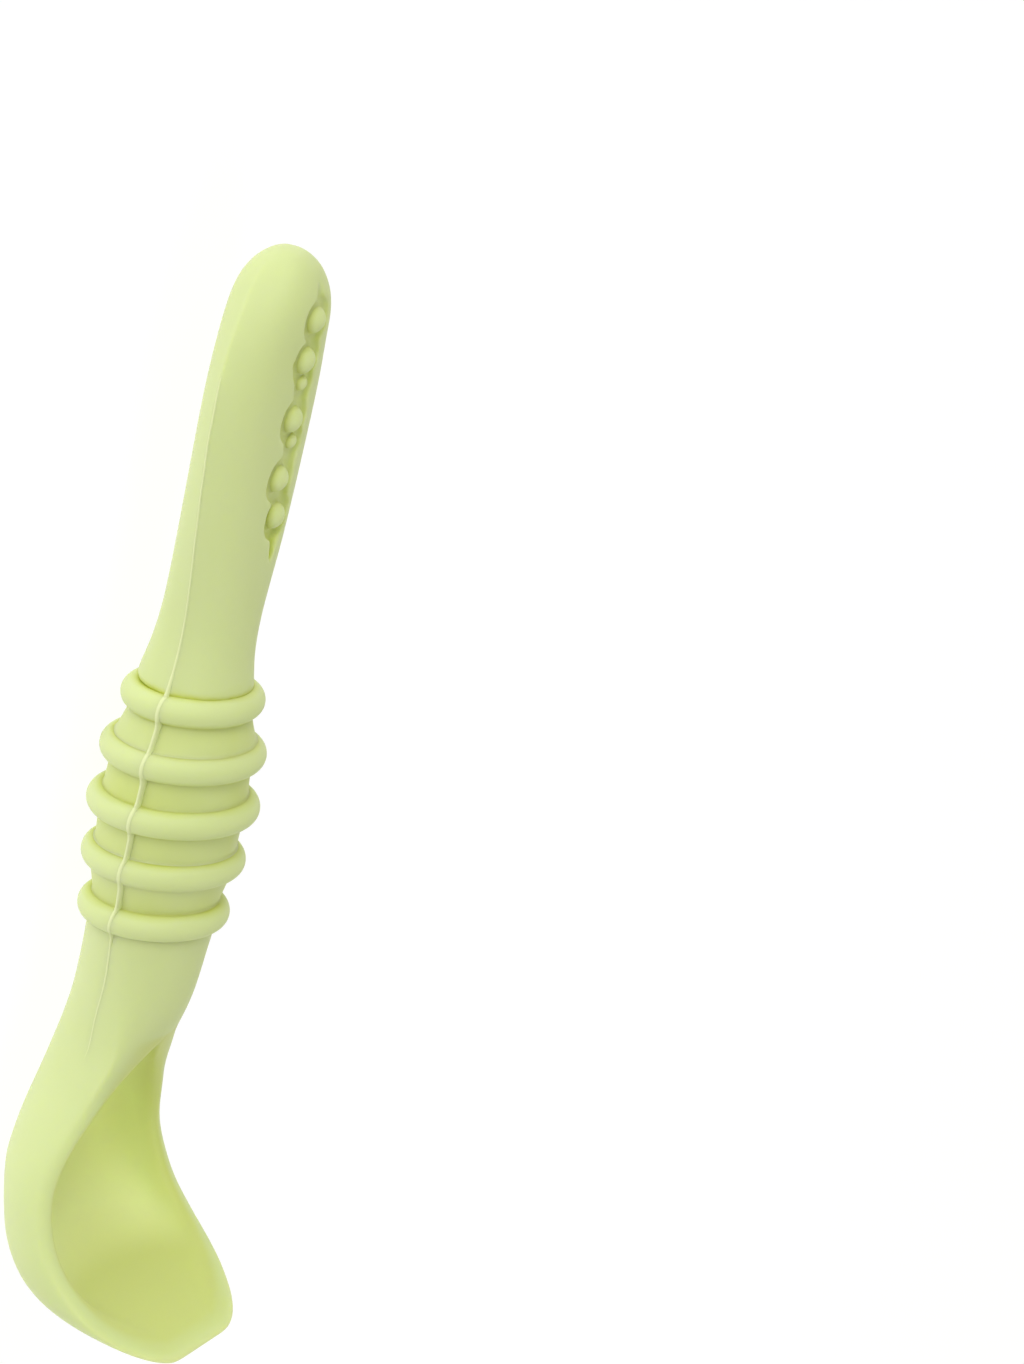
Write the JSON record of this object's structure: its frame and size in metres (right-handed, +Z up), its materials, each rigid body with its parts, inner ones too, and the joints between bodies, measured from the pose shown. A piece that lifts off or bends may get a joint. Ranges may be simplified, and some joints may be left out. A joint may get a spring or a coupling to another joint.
{
  "type": "baby spoon",
  "caption": "Soft one-colour feeding spoon: flat teething handle with a recessed row of nubs, ringed neck and a deep scoop with a squared, upturned tip.",
  "frame": {"origin": "middle of the footprint, on the surface that the spoon lies on", "axes": "+X from the handle's end to the bowl's tip, +Z up out of the bowl, +Y across the width"},
  "size_m": [0.1175, 0.028, 0.0248],
  "materials": {
    "silicone_body": "matt pale lime silicone, slightly translucent",
    "silicone_nubs": "matt pale lime silicone, slightly translucent",
    "silicone_rings": "matt pale lime silicone, slightly translucent",
    "silicone_bowl": "matt pale lime silicone, slightly translucent"
  },
  "bodies": {
    "root": {"handle": "silicone_body", "large_nubs": "silicone_nubs", "small_nubs": "silicone_nubs", "neck": "silicone_body", "ring_1": "silicone_rings", "ring_2": "silicone_rings", "ring_3": "silicone_rings", "ring_4": "silicone_rings", "ring_5": "silicone_rings", "bowl": "silicone_bowl"}
  },
  "joints": []
}
